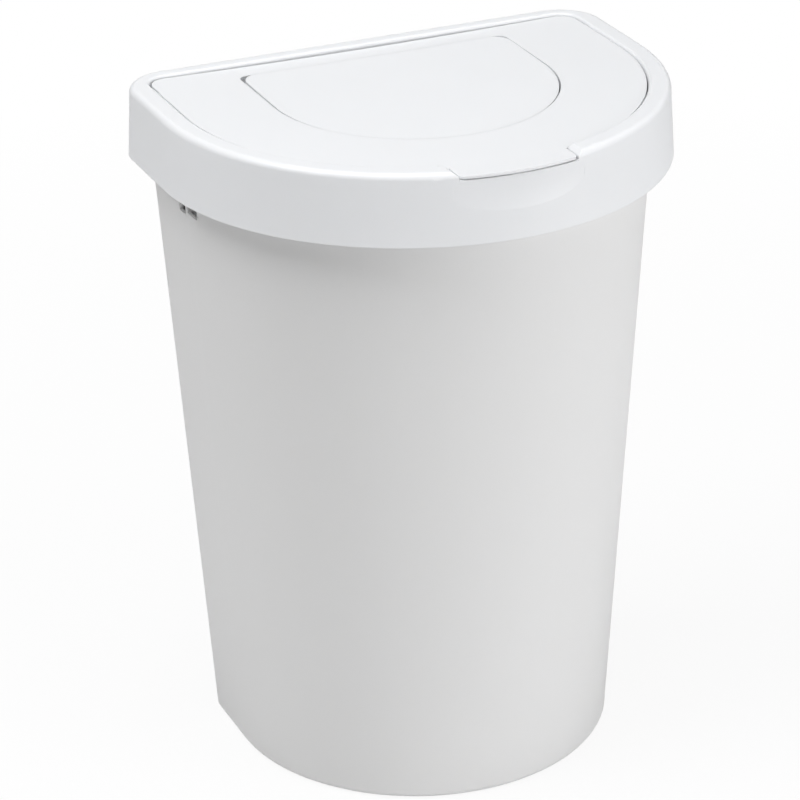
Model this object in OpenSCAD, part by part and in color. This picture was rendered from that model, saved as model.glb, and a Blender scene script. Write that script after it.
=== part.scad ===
// Swing-lid waste bin with a D-shaped plan.
// Four mouldings: a tapered tub, a collar that drops over its rim, a hinged lid and a swing flap.
// Plan sections are D shapes: a half circle in front, straight sides, a flat back and round rear
// corners. They are drawn round the centre of that half circle, and the whole is then moved back
// so that the bin stands centred on the origin, with its front towards -Y.

/* [Collar] */
// Height of the whole bin
bin_h = 356; // [300:1:430]
// Half width of the collar at its top, which is also the radius of its round front
collar_r = 130; // [122:0.5:140]
// Centre of the round front to the flat rear face, at the collar's top
collar_back = 70; // [68:0.5:80]
// Radius of the collar's two rear corners
collar_corner = 24; // [22:0.5:28]
// Depth of the collar's skirt
collar_h = 36; // [32:0.5:44]
// Outward flare of the skirt from its top down to its lower edge
collar_flare = 1.85; // [0.5:0.05:3]
// Wall of the collar
collar_wall = 2.2; // [1.8:0.1:2.6]
// Rounding of the collar's outer top edge
rim_edge = 3.4; // [2.8:0.1:4.5]
// Rounding of the inner edge of the rim
rim_inner_edge = 1.8; // [1.2:0.1:2.1]
// Width of the flat rim at the front and sides
rim_side_w = 11.4; // [10.8:0.1:12.5]
// Width of the flat rim at the back
rim_rear_w = 9.6; // [9:0.1:9.8]
// Radius of the opening's rear corners
opening_corner = 10.5; // [8:0.5:14]
// Width of the ledge that the lid rests on
ledge_w = 3.8; // [2.5:0.1:5]
// Thickness of that ledge
ledge_t = 2; // [1.5:0.1:2.5]
// How far the ledge runs back along the straight sides
ledge_reach = 32; // [20:1:34]
// Thickness of the gussets that carry the collar on the tub's rim
gusset_t = 1.6; // [1.2:0.1:2.4]

/* [Tub] */
// How much the tub's front and sides lean in from the shoulder down to the foot
side_taper = 19.6; // [16:0.2:24]
// How much the tub's back leans in from the shoulder down to the foot
back_taper = 14.4; // [11:0.2:18]
// Radius of the tub's rear corners at its foot
base_corner = 8.9; // [6:0.1:14]
// Wall of the tub
tub_wall = 2; // [1.6:0.1:2.4]
// Thickness of the tub's floor
floor_t = 2.2; // [1.8:0.1:3]
// Height of the foot ring under the floor
foot_h = 3; // [2:0.5:5]
// Width of the foot ring
foot_w = 6.5; // [5.5:0.5:9]
// Rounding of the tub's lower edge
foot_round = 5; // [3:0.5:6]
// Depth of the wide mouth, from the tub's rim down to the shoulder
mouth_h = 23; // [20:0.5:24]
// Shoulder that widens the tub to its mouth
shoulder_w = 5.6; // [5:0.1:6.4]
// Inset of the mouth's outer face from the collar's top outline
mouth_inset = 4; // [3.7:0.1:4.4]
// Outward lip on the tub's rim
lip_w = 1.2; // [0.6:0.1:1.2]
// Height of that lip
lip_h = 3; // [2:0.5:5]
// Drop from the top of the bin to the tub's rim
rim_drop = 11; // [10.5:0.1:12]

/* [Side windows and tongues] */
// Front end of the front window in each side of the tub, behind the centre of the round front
window_y = -10.8; // [-12:0.2:-8]
// Length of the front window
window_l = 12.6; // [9:0.2:14]
// Length of the rear window
rear_window_l = 8.6; // [6:0.2:11]
// Wall left between the two windows
window_bar = 2.6; // [1.6:0.2:4]
// Height of the front window
window_h = 8.6; // [6:0.2:11]
// Height of the rear window
rear_window_h = 11; // [8:0.2:13]
// Wall left between the windows and the shoulder
window_drop = 8; // [5:0.5:12]
// Overlap of the collar's locking tongue with the wall round the windows
tongue_lap = 1.4; // [0.8:0.1:1.8]
// Thickness of the tongue
tongue_t = 1.8; // [1.2:0.1:2.2]
// Gap between the pressed-in tongue and the tub's wall, level with the tongue's foot
tongue_gap = 1; // [0.9:0.1:1.4]

/* [Lid] */
// Gap round the lid, in the collar's opening
lid_gap = 0.7; // [0.5:0.1:1.1]
// Extra gap beside the part of the lid behind its hinge
lid_rear_relief = 0.3; // [0.2:0.1:0.8]
// Gap behind the lid
lid_rear_gap = 1.2; // [1.1:0.1:1.6]
// Drop from the rim to the lid's top, at the sides
lid_drop = 0.9; // [0.5:0.1:1.5]
// Depth of the shallow trough across the lid's width
lid_dish = 1.4; // [0.8:0.1:1.8]
// Thickness of the lid's top
lid_t = 2.2; // [1.8:0.1:2.6]
// Thickness of the walls under the lid
lid_wall = 1.6; // [1.2:0.1:2]
// Radius of the lid's rear corners
lid_corner = 9.8; // [7:0.2:12]
// Hinge axis behind the centre of the round front
hinge_y = 42; // [40:0.5:43]
// Hinge axis below the top of the bin
hinge_drop = 6.2; // [6:0.1:6.4]
// Radius of the lid's hinge pins
pin_r = 2.5; // [2:0.1:2.8]
// Running gap round the hinge pins
pin_play = 0.06; // [0.03:0.01:0.1]
// Width of the slot through which each pin snaps in from below
slot_w = 3.5; // [3:0.1:3.8]

/* [Finger tab] */
// Width of the tab on the lid's front edge
tab_w = 61; // [44:1:76]
// Setback of the tab's front edge from the collar's top outline
tab_setback = 0.3; // [-0.2:0.1:1]
// Radius of the tab's front corners
tab_corner = 3.5; // [2:0.5:6]
// Thickness of the tab
tab_t = 1.3; // [1.1:0.1:2]
// Gap beside and under the tab
tab_gap = 0.5; // [0.4:0.1:1.2]
// Depth of the finger scoop below the tab, which runs out to nothing at the tab's corners
scoop_depth = 0.6; // [0.4:0.1:1]
// Radius of the scoop's hollow section
scoop_r = 80; // [50:5:120]
// How far the rim slopes up beside the tab
notch_slope = 3; // [1.5:0.1:4]

/* [Swing flap] */
// Half width of the flap's hole, which is also the radius of its round front
hole_r = 73.7; // [66:0.1:78]
// Centre of the hole's round front, behind the centre of the collar's
hole_y = -3.5; // [-6:0.5:2]
// Centre of the hole's round front to its flat back
hole_back = 50; // [44:0.5:52]
// Radius of the hole's rear corners
hole_corner = 5; // [3:0.5:8]
// Gap round the flap
flap_gap = 0.8; // [0.7:0.1:1.4]
// Radius of the flap's rear corners
flap_corner = 10; // [6:0.5:14]
// Thickness of the flap's top
flap_t = 2; // [1.6:0.1:2.4]
// Depth of the wall under the flap's edge, from the flap's top
flap_wall_h = 7; // [5:0.5:8]
// Thickness of that wall
flap_wall = 1.4; // [1:0.1:1.8]
// Pivot axis behind the centre of the collar's round front
pivot_y = -8; // [-12:0.5:-4]
// Pivot axis below the top of the bin
pivot_drop = 7.4; // [7:0.1:8.2]
// Radius of the flap's pivot pins
pivot_r = 1.8; // [1.4:0.1:2]
// Forward tilt at which the flap hangs at rest, in degrees
flap_tilt = 0.6; // [0:0.1:0.8]

/* [Hidden] */
$fn = 128;
far = 400;             // beyond every face, for cutting blocks
weld = 0.4;            // how far a rib or boss runs into the wall that carries it
past = 1;              // how far a cutting block runs past the face that it cuts
ledge_drop = 11.5;     // rim's top down to the ledge's top
boss_l = 2.4;          // how far the bosses of both axles stand out behind their walls
boss_wall = 1.8;       // wall round each pin's bore
pin_end_gap = 0.6;     // pin's end to the outer face of its boss
trough_steps = 12;     // flat strips in each half of the lid's trough, each a tenth of a degree

// Centre of the round front, so that the bin is centred on the origin front to back
centre_y = (collar_r - collar_back) / 2;

// Plan sections, each [radius of the front, centre to back, radius of the rear corners]
collar_d = [collar_r, collar_back, collar_corner];
opening_d = [collar_r - rim_side_w, collar_back - rim_rear_w, opening_corner];
tub_top_d = inset(collar_d, mouth_inset + shoulder_w);
base_d = [tub_top_d[0] - side_taper, tub_top_d[1] - back_taper, base_corner];
lid_d = [opening_d[0] - lid_gap, opening_d[1] - lid_rear_gap, lid_corner];
hole_d = [hole_r, hole_back, hole_corner];
flap_d = [hole_r - flap_gap, hole_back - flap_gap, flap_corner];

// Heights above the floor
skirt_z = bin_h - collar_h;
rim_z = bin_h - rim_drop;
shoulder_z = rim_z - mouth_h;
hinge_z = bin_h - hinge_drop;
pivot_z = bin_h - pivot_drop;
ledge_z = bin_h - ledge_drop;
window_top_z = shoulder_z - window_drop;

function inset(d, by) = [d[0] - by, d[1] - by, d[2] - by];
function half_chord(r, y) = sqrt(r * r - y * y);
function arc_points(centre, r, from, to, steps) =
    [for (i = [0:steps]) let (a = from + (to - from) * i / steps) centre + r * [cos(a), sin(a)]];

// D-shaped plan
module d_plan(d) {
    intersection() {
        circle(d[0]);
        translate([-d[0], -d[0]]) square([2 * d[0], d[0]]);
    }
    translate([-d[0], 0]) square([2 * d[0], d[1] - d[2]]);
    translate([d[2] - d[0], 0]) square([2 * (d[0] - d[2]), d[1]]);
    for (side = [-1, 1])
        translate([side * (d[0] - d[2]), d[1] - d[2]]) circle(d[2]);
}

// Runs a section round the front of a D and back along both sides; the section's x points outward
module d_front_run(r, reach) {
    rotate([0, 0, 180]) rotate_extrude(angle = 180) translate([r, 0]) children();
    for (side = [0, 1])
        mirror([side, 0, 0])
            translate([r, reach, 0]) rotate([90, 0, 0]) linear_extrude(reach) children();
}

// Runs a section all the way round a D
module d_ring(d) {
    d_front_run(d[0], d[1] - d[2]) children();
    for (side = [0, 1])
        mirror([side, 0, 0])
            translate([d[0] - d[2], d[1] - d[2], 0])
                rotate_extrude(angle = 90) translate([d[2], 0]) children();
    translate([d[2] - d[0], d[1], 0])
        rotate([90, 0, 90]) linear_extrude(2 * (d[0] - d[2])) children();
}

// Revolves a section about the centre of the round front, over half_angle on each side of -Y
module front_arc(half_angle) {
    rotate([0, 0, 270 - half_angle]) rotate_extrude(angle = 2 * half_angle) children();
}

// Block with slanting walls; x and y each hold [least, greatest] at the foot and at the top
module slant_block(z, x_foot, x_top, y_foot, y_top) {
    intersection() {
        translate([0, far, 0]) rotate([90, 0, 0]) linear_extrude(2 * far)
            polygon([[x_foot[0], z[0]], [x_foot[1], z[0]], [x_top[1], z[1]], [x_top[0], z[1]]]);
        translate([-far, 0, 0]) rotate([90, 0, 90]) linear_extrude(2 * far)
            polygon([[y_foot[0], z[0]], [y_foot[1], z[0]], [y_top[1], z[1]], [y_top[0], z[1]]]);
    }
}

// Solid D that tapers from the plan foot, at height z[0], to the plan top, at height z[1]
module d_taper(z, foot, top) {
    in_foot = [foot[0] - foot[2], foot[1] - foot[2]];
    in_top = [top[0] - top[2], top[1] - top[2]];
    rotate([0, 0, 180]) rotate_extrude(angle = 180)
        polygon([[0, z[0]], [foot[0], z[0]], [top[0], z[1]], [0, z[1]]]);
    slant_block(z, [-foot[0], foot[0]], [-top[0], top[0]], [0, in_foot[1]], [0, in_top[1]]);
    slant_block(z, [-in_foot[0], in_foot[0]], [-in_top[0], in_top[0]], [0, foot[1]], [0, top[1]]);
    for (side = [0, 1])
        mirror([side, 0, 0])
            intersection() {
                leaning_cone(concat(in_foot, z[0]), concat(in_top, z[1]), foot[2], top[2]);
                slant_block(z, [in_foot[0], far], [in_top[0], far], [in_foot[1], far], [in_top[1], far]);
            }
}

// Cone between two centres, drawn a little long at both ends, with its seam turned inwards
module leaning_cone(from, to, r_from, r_to) {
    run = to - from;
    length = norm(run);
    spare = 3;
    step = spare * (r_to - r_from) / length;
    translate(from) rotate([0, acos(run[2] / length), atan2(run[1], run[0])])
        rotate([0, 0, 180]) translate([0, 0, -spare])
            cylinder(h = length + 2 * spare, r1 = r_from - step, r2 = r_to + step);
}

// Round bar along X, from x0 to x1 on both sides of the bin
module side_bars(x0, x1, y, z, r) {
    for (side = [0, 1])
        mirror([side, 0, 0])
            translate([x0, y, z]) rotate([0, 90, 0]) cylinder(h = x1 - x0, r = r);
}

// ---- Tub ----

module tub_mouth_section() {
    top = mouth_inset + shoulder_w;
    polygon([
        [-tub_wall, shoulder_z - tub_wall],
        [0, shoulder_z - tub_wall],
        [shoulder_w, shoulder_z],
        [shoulder_w, rim_z - lip_h],
        [shoulder_w + lip_w, rim_z - lip_h],
        [shoulder_w + lip_w, rim_z],
        [shoulder_w - tub_wall, rim_z],
        [shoulder_w - tub_wall, shoulder_z + tub_wall],
        [-tub_wall, shoulder_z],
    ]);
}

// Waste round the foot's rounding; the arc runs a little past the wall and the underside
module foot_waste_section() {
    spread = 1.3 * foot_round * side_taper / shoulder_z;
    dip = 0.03 * foot_round;
    difference() {
        translate([-foot_round, -past]) square([foot_round + 2 * past, foot_round - dip + past]);
        translate([spread - foot_round, foot_round - dip]) circle(foot_round, $fn = 72);
    }
}

module windows() {
    rear_y = window_y + window_l + window_bar;
    translate([-far, window_y, window_top_z - window_h]) cube([2 * far, window_l, window_h]);
    translate([-far, rear_y, window_top_z - rear_window_h])
        cube([2 * far, rear_window_l, rear_window_h]);
}

module tub() color("gainsboro") translate([0, centre_y, 0]) {
    difference() {
        d_taper([0, shoulder_z], base_d, tub_top_d);
        d_ring(base_d) foot_waste_section();
        d_taper([foot_h + floor_t, shoulder_z], inset(base_d, tub_wall), inset(tub_top_d, tub_wall));
        translate([0, 0, -past]) linear_extrude(foot_h + past) d_plan(inset(base_d, foot_w));
        windows();
    }
    d_ring(tub_top_d) tub_mouth_section();
}

// ---- Collar ----

// Solid section of the collar, from its outer face inwards by strip and down to z; wall insets it
module collar_section(wall, strip, z) {
    flare = collar_flare * (bin_h - rim_edge - z) / (collar_h - rim_edge);
    polygon([
        [-strip, z], [flare - wall, z], [-wall, bin_h - rim_edge], [-strip, bin_h - rim_edge],
    ]);
    translate([-strip, bin_h - rim_edge]) square([strip - rim_edge, rim_edge - wall]);
    translate([-rim_edge, bin_h - rim_edge]) circle(rim_edge - wall);
}

module skirt_section() {
    strip = rim_side_w - collar_wall;
    difference() {
        collar_section(0, strip / 2, skirt_z);
        collar_section(collar_wall, strip, skirt_z - past);
    }
}

// Wall of the opening, with a head that is rounded at the rim
module opening_section() {
    head_w = rim_inner_edge + collar_wall / 2;
    corner = rim_inner_edge + past;
    difference() {
        union() {
            translate([0, ledge_z - ledge_t]) square([collar_wall, bin_h - ledge_z + ledge_t]);
            translate([0, bin_h - collar_wall]) square([head_w, collar_wall]);
        }
        difference() {
            translate([-past, bin_h - rim_inner_edge]) square([corner, corner]);
            translate([rim_inner_edge, bin_h - rim_inner_edge]) circle(rim_inner_edge);
        }
    }
}

// Gussets every 15 degrees round the front, one on each straight side and five at the back
module gussets() {
    height = bin_h - collar_wall / 2 - rim_z;
    reach = rim_side_w - 2 * collar_wall + 2 * weld;
    rear_reach = rim_rear_w - 2 * collar_wall + 2 * weld;
    side_y = (opening_d[1] - opening_d[2]) / 4;
    rear_pitch = (opening_d[0] - opening_d[2]) * 0.37;
    for (a = [-75:15:75])
        rotate([0, 0, a])
            translate([-gusset_t / 2, -opening_d[0] - collar_wall + weld - reach, rim_z])
                cube([gusset_t, reach, height]);
    for (side = [0, 1])
        mirror([side, 0, 0])
            translate([opening_d[0] + collar_wall - weld, side_y, rim_z])
                cube([reach, gusset_t, height]);
    for (i = [-2:2])
        translate([i * rear_pitch - gusset_t / 2, opening_d[1] + collar_wall - weld, rim_z])
            cube([gusset_t, rear_reach, height]);
}

// Tongues that hang from the ledge and close the tub's side windows from inside
module tongues() {
    foot_z = window_top_z - rear_window_h - tongue_lap;
    wall_x = base_d[0] + side_taper * foot_z / shoulder_z - tub_wall;
    length = window_l + window_bar + rear_window_l + 2 * tongue_lap;
    for (side = [0, 1])
        mirror([side, 0, 0])
            translate([wall_x - tongue_gap - tongue_t, window_y - tongue_lap, foot_z])
                cube([tongue_t, length, ledge_z - foot_z]);
}

notch_z = bin_h - lid_drop - lid_dish - tab_t - tab_gap;
notch_half = tab_w / 2 + tab_gap;

// Filled stretch of rim that the tab's notch is cut from
module notch_body() {
    half_w = notch_half + notch_slope + collar_wall;
    intersection() {
        rotate([0, 0, 180]) rotate_extrude(angle = 180) translate([collar_r, 0])
            collar_section(0, rim_side_w - weld, notch_z - collar_wall);
        translate([-half_w, -far, notch_z - collar_wall]) cube([2 * half_w, far, far]);
    }
}

// Notch for the tab; above the tab's top its sides slope out to the rim
module notch() {
    shelf_z = bin_h - lid_drop - lid_dish;
    lean = notch_slope / (bin_h - shelf_z);
    top_half = notch_half + lean * (bin_h + past - shelf_z);
    rotate([90, 0, 0]) translate([0, 0, lid_d[0] / 2]) linear_extrude(far)
        polygon([
            [-notch_half, notch_z], [notch_half, notch_z], [notch_half, shelf_z],
            [top_half, bin_h + past], [-top_half, bin_h + past], [-notch_half, shelf_z],
        ]);
}

// Finger scoop under the tab: a hollow section swept on an arc flatter than the collar's front
module scoop(z) {
    deepest = collar_r - scoop_depth;
    sag = deepest - half_chord(collar_r, tab_w / 2);
    arc_r = (pow(tab_w / 2, 2) + pow(sag, 2)) / (2 * sag);
    translate([0, arc_r - deepest, 0]) front_arc(asin((tab_w / 2 + tab_corner) / arc_r))
        translate([arc_r + scoop_r, z]) circle(scoop_r);
}

module collar() color("whitesmoke") translate([0, centre_y, 0]) {
    boss_x = opening_d[0] + collar_wall;
    difference() {
        union() {
            d_ring(collar_d) skirt_section();
            d_ring(opening_d) opening_section();
            translate([0, 0, bin_h - collar_wall]) linear_extrude(collar_wall)
                difference() {
                    d_plan(inset(collar_d, rim_edge));
                    d_plan(inset(opening_d, -rim_inner_edge - weld / 2));
                }
            d_front_run(opening_d[0], ledge_reach)
                translate([-ledge_w, ledge_z - ledge_t]) square([ledge_w + weld, ledge_t]);
            notch_body();
            gussets();
            tongues();
            side_bars(boss_x - weld, boss_x + boss_l, hinge_y, hinge_z, pin_r + boss_wall);
        }
        side_bars(opening_d[0] - past, boss_x + boss_l + past, hinge_y, hinge_z, pin_r + pin_play);
        // Slots through which the lid's pins snap in from below
        for (side = [0, 1])
            mirror([side, 0, 0])
                translate([opening_d[0] - past, hinge_y - slot_w / 2, ledge_z - ledge_t - past])
                    cube([collar_wall + boss_l + 2 * past, slot_w, hinge_z - ledge_z + ledge_t + past]);
        notch();
        scoop(notch_z - past);
    }
}

// ---- Lid ----

// Lid's outline, narrower behind the hinge
module lid_plan(by) {
    split_y = hinge_y - slot_w / 2;
    intersection() {
        d_plan(inset(lid_d, by));
        translate([-far, -far]) square([2 * far, far + split_y - by]);
    }
    intersection() {
        d_plan(inset([lid_d[0] - lid_rear_relief, lid_d[1], lid_d[2]], by));
        translate([-far, 0]) square([2 * far, far]);
    }
}

// Finger tab's outline, out to the collar's round front
module tab_plan() {
    tab_r = collar_r - tab_setback;
    corner_x = tab_w / 2 - tab_corner;
    corner_y = -half_chord(tab_r - tab_corner, corner_x);
    turn = acos(corner_x / (tab_r - tab_corner));
    root_y = (hole_y - hole_r - lid_d[0]) / 2;
    polygon(concat(
        [[-tab_w / 2, root_y]],
        arc_points([-corner_x, corner_y], tab_corner, 180, 180 + turn, 8),
        arc_points([0, 0], tab_r, 180 + turn, 360 - turn, 32),
        arc_points([corner_x, corner_y], tab_corner, 360 - turn, 360, 8),
        [[tab_w / 2, root_y]]
    ));
}

module hole_plan(by) {
    translate([0, hole_y]) d_plan(inset(hole_d, by));
}

module flap_plan(by) {
    translate([0, hole_y]) d_plan(inset(flap_d, by));
}

// Space above the lid's top face, which is a shallow trough from side to side, lowered by down
module trough(down) {
    bed_z = bin_h - lid_drop - lid_dish - down;
    half = lid_d[0] + past;
    translate([0, far, 0]) rotate([90, 0, 0]) linear_extrude(2 * far)
        polygon(concat(
            [for (i = [-trough_steps:trough_steps])
                [half * i / trough_steps, bed_z + lid_dish * pow(i / trough_steps, 2)]],
            [[half, far], [-half, far]]
        ));
}

// Follows the trough: a top of thickness t over the plan given as the child
module dished_top(t) {
    difference() {
        intersection() {
            translate([0, 0, bin_h - far / 2]) linear_extrude(far / 2) children();
            trough(t);
        }
        trough(0);
    }
}

// Upright walls over the plan given as the child, from z up into a top of thickness t
module walls_under(z, t) {
    difference() {
        translate([0, 0, z]) linear_extrude(bin_h - z) children();
        trough(t / 2);
    }
}

module lid_walls() {
    ring_w = lid_d[0] - hole_r;
    walls_under(ledge_z, lid_t) difference() {
        lid_plan(0);
        lid_plan(lid_wall);
    }
    walls_under(ledge_z + past, lid_t) difference() {
        hole_plan(-lid_wall);
        hole_plan(0);
    }
    // Ribs from the hole's wall out to the lid's edge
    walls_under(ledge_z + ledge_w, lid_t)
        for (a = [-60, -20, 20, 60])
            rotate([0, 0, a]) translate([-lid_wall / 2, -lid_d[0] + lid_wall - weld])
                square([lid_wall, ring_w + hole_y - 2 * lid_wall + 2 * weld]);
}

module lid() color("white") translate([0, centre_y, 0]) {
    boss_x = hole_r + lid_wall;
    snap_w = 1.4 * pivot_r;
    difference() {
        union() {
            dished_top(lid_t) difference() {
                lid_plan(0);
                hole_plan(0);
            }
            dished_top(tab_t) tab_plan();
            lid_walls();
            side_bars(boss_x - weld, boss_x + boss_l, pivot_y, pivot_z, pivot_r + boss_wall);
        }
        side_bars(hole_r - past, boss_x + boss_l + past, pivot_y, pivot_z, pivot_r + pin_play);
        // Slots through which the flap's pins snap in from below
        for (side = [0, 1])
            mirror([side, 0, 0])
                translate([hole_r - past, pivot_y - snap_w / 2, pivot_z - far])
                    cube([lid_wall + boss_l + 2 * past, snap_w, far]);
    }
    side_bars(lid_d[0] - lid_wall, opening_d[0] + collar_wall + boss_l - pin_end_gap,
        hinge_y, hinge_z, pin_r);
}

// ---- Flap ----

module flap() color("white") translate([0, centre_y, 0])
    translate([0, pivot_y, pivot_z]) rotate([flap_tilt, 0, 0]) translate([0, -pivot_y, -pivot_z]) {
        under_z = bin_h - lid_drop - lid_dish - flap_wall_h;
        dished_top(flap_t) flap_plan(0);
        walls_under(under_z, flap_t) difference() {
            flap_plan(0);
            flap_plan(flap_wall);
        }
        // Cross ribs before, on and behind the pivot
        walls_under(under_z + flap_t, flap_t)
            for (y = [pivot_y - 0.45 * flap_d[0], pivot_y, pivot_y + 0.65 * flap_d[1]])
                translate([-half_chord(flap_d[0] - weld, min(y - hole_y, 0)), y - flap_wall / 2])
                    square([2 * half_chord(flap_d[0] - weld, min(y - hole_y, 0)), flap_wall]);
        side_bars(flap_d[0] - flap_wall, hole_r + lid_wall + boss_l - pin_end_gap,
            pivot_y, pivot_z, pivot_r);
    }

tub();
collar();
lid();
flap();
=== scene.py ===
"""Looks and lighting for the D-shaped swing-lid bin: satin moulded plastic on a white sweep."""

import math

import bpy
from mathutils import Matrix, Vector

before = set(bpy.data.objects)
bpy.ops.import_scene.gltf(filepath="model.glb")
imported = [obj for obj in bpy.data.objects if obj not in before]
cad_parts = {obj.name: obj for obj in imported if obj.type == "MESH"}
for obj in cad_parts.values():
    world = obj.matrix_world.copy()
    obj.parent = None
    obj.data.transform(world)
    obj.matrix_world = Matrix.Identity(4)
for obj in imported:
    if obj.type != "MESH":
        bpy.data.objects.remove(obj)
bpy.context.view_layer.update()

# Camera, matched to the photograph's outline
AZIMUTH = math.radians(-23.49)
ELEVATION = math.radians(25.18)
ROLL = math.radians(-0.90)
DISTANCE = 1.6938
LOOK_AT = Vector((-0.0202, 0.0016, 0.1962))
LENS_MM = 149.87
SENSOR_MM = 36.0

CLIP_END = 50.0

# Colours, linear
TUB_COLOUR = (0.800, 0.797, 0.792, 1.0)
LID_COLOUR = (0.850, 0.858, 0.870, 1.0)
FLOOR_COLOUR = (0.88, 0.88, 0.88, 1.0)
AMBIENT_COLOUR = (1.0, 0.992, 0.975, 1.0)
WHITE = (1.0, 1.0, 1.0, 1.0)

# Plastic
TUB_ROUGHNESS = 0.42
LID_ROUGHNESS = 0.38
ROUGHNESS_SPREAD = 0.03
SPECULAR = 0.45
TRANSLUCENCY = 0.3
SCATTER = (1.0, 0.97, 0.93)    # how far each colour travels, as shares of the depth
SCATTER_DEPTH = 0.002          # m
MOTTLE_SCALE = 9.0
MOTTLE_DARK = 0.985
MOTTLE_LIGHT = 1.012
GRAIN_SCALE = 1400.0
GRAIN_STRENGTH = 0.5
GRAIN_DEPTH = 0.00004          # m
EDGE_RADIUS = 0.0006           # m

# Sockets of a Mix node that is set to colours
MIX_FACTOR, MIX_A, MIX_B = 0, 6, 7
MIX_RESULT = 2

# Floor
FLOOR_HALF = 12.0              # m
FLOOR_ROUGHNESS = 0.9
FLOOR_SPECULAR = 0.1
FLOOR_WHITE_NEAR = 0.90        # share of plain white in the camera's view, at the bin
WHITE_FROM = 0.30              # distance from the bin where that share starts to grow, m
WHITE_ALL = 1.0                # distance where the floor is plain white, m

# Light
AMBIENT = 0.12
LAMP_AIM = Vector((0.0, 0.0, 0.2))
LAMP_DISTANCE = 2.4
LAMP_SIZE = 1.4
LAMP_COLOUR = (0.985, 0.99, 1.0)
LAMPS = (
    # name, azimuth, elevation, level
    ("key_right", 40.0, 12.0, 0.46),
    ("top_left", -90.0, 58.0, 0.53),
    ("top_front", -20.0, 58.0, 0.10),
    ("overhead", 0.0, 88.0, 0.425),
)


def view_axes(azimuth, elevation):
    """Directions from the object to the camera, to the camera's right and to its top."""
    back = Vector((
        math.sin(azimuth) * math.cos(elevation),
        -math.cos(azimuth) * math.cos(elevation),
        math.sin(elevation),
    ))
    right = Vector((math.cos(azimuth), math.sin(azimuth), 0.0))
    return back, right, back.cross(right)


def make_camera():
    back, right, up = view_axes(AZIMUTH, ELEVATION)
    rolled_right = math.cos(ROLL) * right + math.sin(ROLL) * up
    rolled_up = math.cos(ROLL) * up - math.sin(ROLL) * right
    data = bpy.data.cameras.new("photo_camera")
    data.lens = LENS_MM
    data.sensor_width = SENSOR_MM
    data.clip_end = CLIP_END
    camera = bpy.data.objects.new("photo_camera", data)
    turn = Matrix((rolled_right, rolled_up, back)).transposed().to_4x4()
    camera.matrix_world = Matrix.Translation(LOOK_AT + DISTANCE * back) @ turn
    bpy.context.collection.objects.link(camera)
    bpy.context.scene.camera = camera


def new_material(name):
    material = bpy.data.materials.new(name)
    material.use_nodes = True
    nodes = material.node_tree.nodes
    return material, nodes, material.node_tree.links, nodes["Principled BSDF"]


def moulded_plastic(name, colour, roughness):
    """Satin injection-moulded plastic: faint mottling, a fine grain and soft edges."""
    material, nodes, links, shader = new_material(name)
    place = nodes.new("ShaderNodeTexCoord")
    shader.inputs["Specular IOR Level"].default_value = SPECULAR
    shader.inputs["Subsurface Weight"].default_value = TRANSLUCENCY
    shader.inputs["Subsurface Radius"].default_value = SCATTER
    shader.inputs["Subsurface Scale"].default_value = SCATTER_DEPTH

    mottle = nodes.new("ShaderNodeTexNoise")
    mottle.inputs["Scale"].default_value = MOTTLE_SCALE
    mottle.inputs["Detail"].default_value = 3.0
    tone = nodes.new("ShaderNodeMix")
    tone.data_type = "RGBA"
    tone.inputs[MIX_A].default_value = [MOTTLE_DARK * c for c in colour[:3]] + [1.0]
    tone.inputs[MIX_B].default_value = [MOTTLE_LIGHT * c for c in colour[:3]] + [1.0]
    links.new(place.outputs["Object"], mottle.inputs["Vector"])
    links.new(mottle.outputs["Fac"], tone.inputs[MIX_FACTOR])
    links.new(tone.outputs[MIX_RESULT], shader.inputs["Base Color"])

    gloss = nodes.new("ShaderNodeMapRange")
    gloss.inputs["To Min"].default_value = roughness - ROUGHNESS_SPREAD
    gloss.inputs["To Max"].default_value = roughness + ROUGHNESS_SPREAD
    links.new(mottle.outputs["Fac"], gloss.inputs["Value"])
    links.new(gloss.outputs["Result"], shader.inputs["Roughness"])

    fine = nodes.new("ShaderNodeTexNoise")
    fine.inputs["Scale"].default_value = GRAIN_SCALE
    fine.inputs["Detail"].default_value = 2.0
    edge = nodes.new("ShaderNodeBevel")
    edge.samples = 6
    edge.inputs["Radius"].default_value = EDGE_RADIUS
    bump = nodes.new("ShaderNodeBump")
    bump.inputs["Strength"].default_value = GRAIN_STRENGTH
    bump.inputs["Distance"].default_value = GRAIN_DEPTH
    links.new(place.outputs["Object"], fine.inputs["Vector"])
    links.new(fine.outputs["Fac"], bump.inputs["Height"])
    links.new(edge.outputs["Normal"], bump.inputs["Normal"])
    links.new(bump.outputs["Normal"], shader.inputs["Normal"])
    return material


def dress(node_name, material):
    """Give a CAD piece this material alone; its mesh stays as it is."""
    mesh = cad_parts[node_name].data
    mesh.materials.clear()
    mesh.materials.append(material)


def floor_share(nodes, links):
    """How much of the floor is plain white: only for what the camera sees, more far away."""
    place = nodes.new("ShaderNodeTexCoord")
    away = nodes.new("ShaderNodeVectorMath")
    away.operation = "LENGTH"
    share = nodes.new("ShaderNodeMapRange")
    share.inputs["From Min"].default_value = WHITE_FROM
    share.inputs["From Max"].default_value = WHITE_ALL
    share.inputs["To Min"].default_value = FLOOR_WHITE_NEAR
    share.inputs["To Max"].default_value = 1.0
    path = nodes.new("ShaderNodeLightPath")
    seen = nodes.new("ShaderNodeMath")
    seen.operation = "MULTIPLY"
    links.new(place.outputs["Object"], away.inputs[0])
    links.new(away.outputs["Value"], share.inputs["Value"])
    links.new(share.outputs["Result"], seen.inputs[0])
    links.new(path.outputs["Is Camera Ray"], seen.inputs[1])
    return seen.outputs[0]


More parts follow.
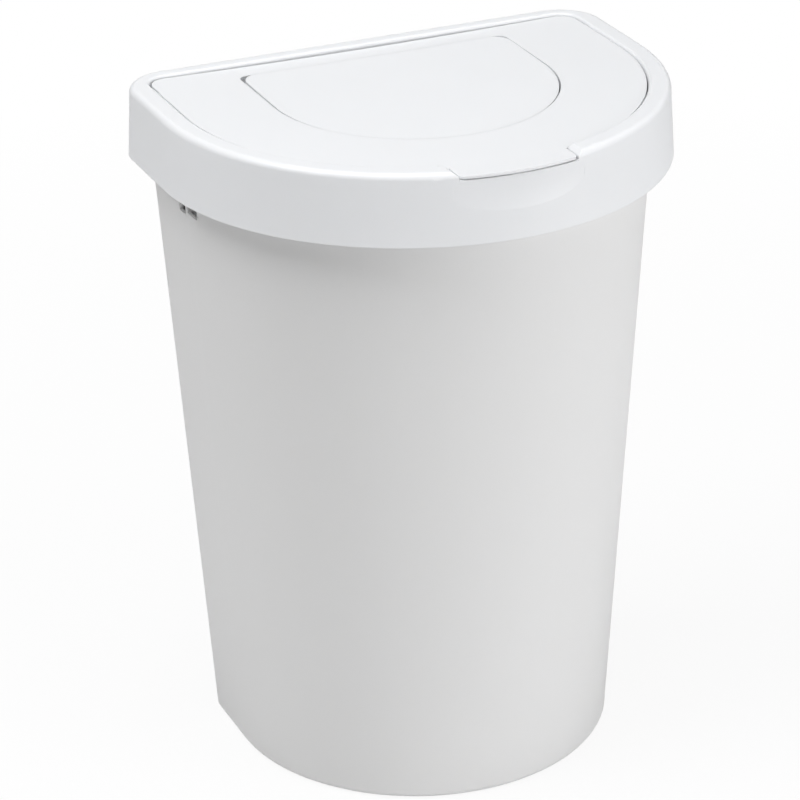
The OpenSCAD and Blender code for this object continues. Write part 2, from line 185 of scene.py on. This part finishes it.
def make_floor():
    """Pale floor: the camera sees it near white, and it keeps the bin's soft shadow."""
    mesh = bpy.data.meshes.new("floor")
    corners = [(sx * FLOOR_HALF, sy * FLOOR_HALF, 0)
               for sx, sy in ((-1, -1), (1, -1), (1, 1), (-1, 1))]
    mesh.from_pydata(corners, [], [(0, 1, 2, 3)])
    floor = bpy.data.objects.new("floor", mesh)
    bpy.context.collection.objects.link(floor)
    material, nodes, links, shader = new_material("floor")
    shader.inputs["Base Color"].default_value = FLOOR_COLOUR
    shader.inputs["Roughness"].default_value = FLOOR_ROUGHNESS
    shader.inputs["Specular IOR Level"].default_value = FLOOR_SPECULAR
    white = nodes.new("ShaderNodeEmission")
    mix = nodes.new("ShaderNodeMixShader")
    links.new(floor_share(nodes, links), mix.inputs[0])
    links.new(shader.outputs[0], mix.inputs[1])
    links.new(white.outputs[0], mix.inputs[2])
    links.new(mix.outputs[0], nodes["Material Output"].inputs["Surface"])
    mesh.materials.append(material)


def make_world():
    """Soft light from all round, which the camera itself sees as plain white."""
    world = bpy.data.worlds.new("studio")
    bpy.context.scene.world = world
    world.use_nodes = True
    nodes = world.node_tree.nodes
    links = world.node_tree.links
    soft = nodes["Background"]
    soft.inputs["Color"].default_value = AMBIENT_COLOUR
    soft.inputs["Strength"].default_value = AMBIENT
    white = nodes.new("ShaderNodeBackground")
    white.inputs["Color"].default_value = WHITE
    mix = nodes.new("ShaderNodeMixShader")
    links.new(nodes.new("ShaderNodeLightPath").outputs["Is Camera Ray"], mix.inputs[0])
    links.new(soft.outputs[0], mix.inputs[1])
    links.new(white.outputs[0], mix.inputs[2])
    links.new(mix.outputs[0], nodes["World Output"].inputs["Surface"])


def area_lamp(name, azimuth, elevation, level):
    """Disk lamp aimed at the bin; level is what it adds to a white surface that faces it."""
    back = view_axes(math.radians(azimuth), math.radians(elevation))[0]
    data = bpy.data.lights.new(name, "AREA")
    data.shape = "DISK"
    data.size = LAMP_SIZE
    data.energy = level * math.pi ** 2 * LAMP_DISTANCE ** 2
    data.color = LAMP_COLOUR
    lamp = bpy.data.objects.new(name, data)
    lamp.location = LAMP_AIM + LAMP_DISTANCE * back
    lamp.rotation_euler = back.to_track_quat("Z", "Y").to_euler()
    bpy.context.collection.objects.link(lamp)


make_camera()
make_world()
make_floor()
for lamp in LAMPS:
    area_lamp(*lamp)
tub_plastic = moulded_plastic("tub_plastic", TUB_COLOUR, TUB_ROUGHNESS)
lid_plastic = moulded_plastic("lid_plastic", LID_COLOUR, LID_ROUGHNESS)
dress("tub", tub_plastic)
for name in ("collar", "lid", "flap"):
    dress(name, lid_plastic)

bpy.context.scene.view_settings.view_transform = "Standard"
